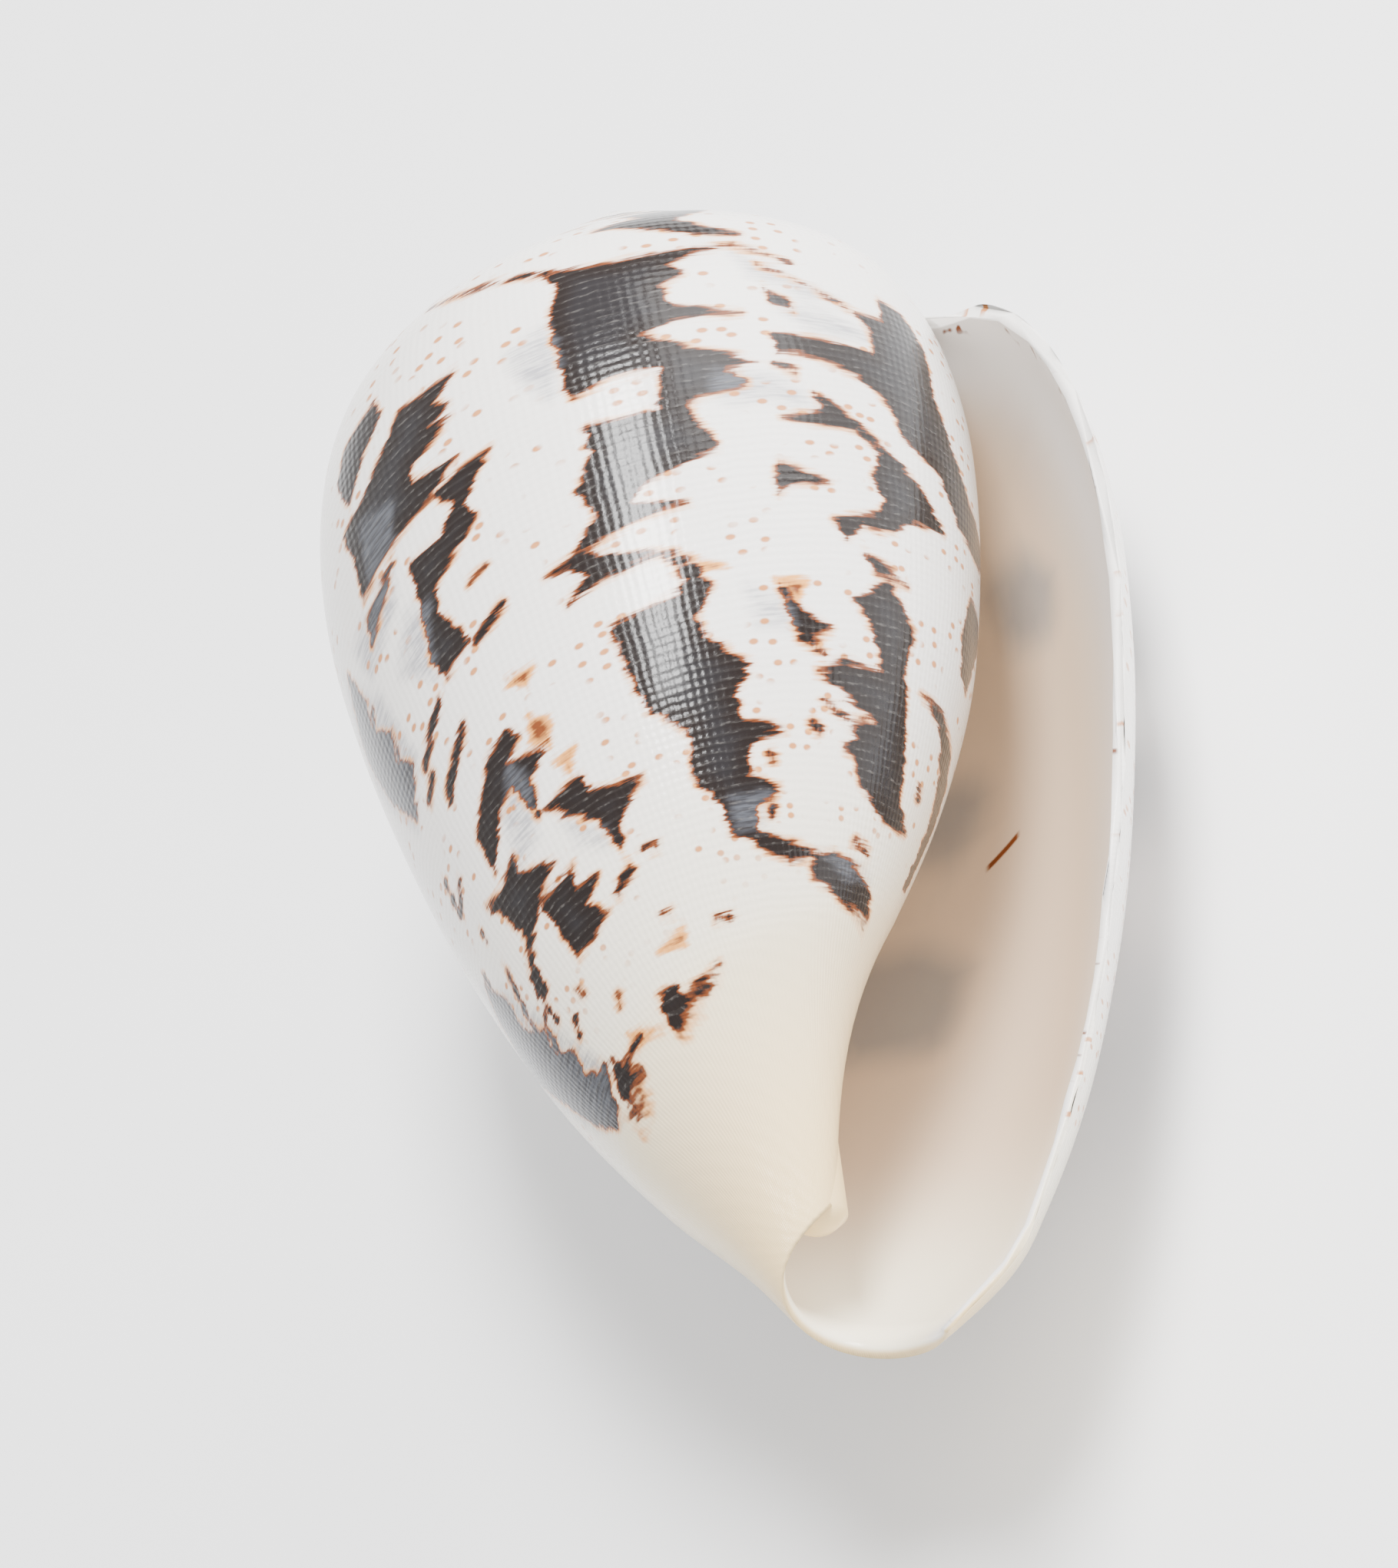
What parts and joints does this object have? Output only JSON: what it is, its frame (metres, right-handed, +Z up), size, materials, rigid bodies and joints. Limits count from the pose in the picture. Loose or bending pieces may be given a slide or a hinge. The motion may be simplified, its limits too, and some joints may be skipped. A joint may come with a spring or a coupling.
{
  "type": "cone shell",
  "caption": "Glossy white cone shell with dark brown blotches, lying on its back with its long narrow mouth open to the side and up",
  "frame": {"origin": "centre of the bounding box in X and Y, at the height of the surface it rests on", "axes": "+Y along the shell towards its spire, +X towards the open side where the lip is, +Z up from the surface it rests on"},
  "size_m": [0.0394, 0.0692, 0.0362],
  "materials": {
    "shell": "polished natural shell, white with dark brown blotches, pale peach inside"
  },
  "bodies": {
    "root": {"shell": "shell"}
  },
  "joints": []
}
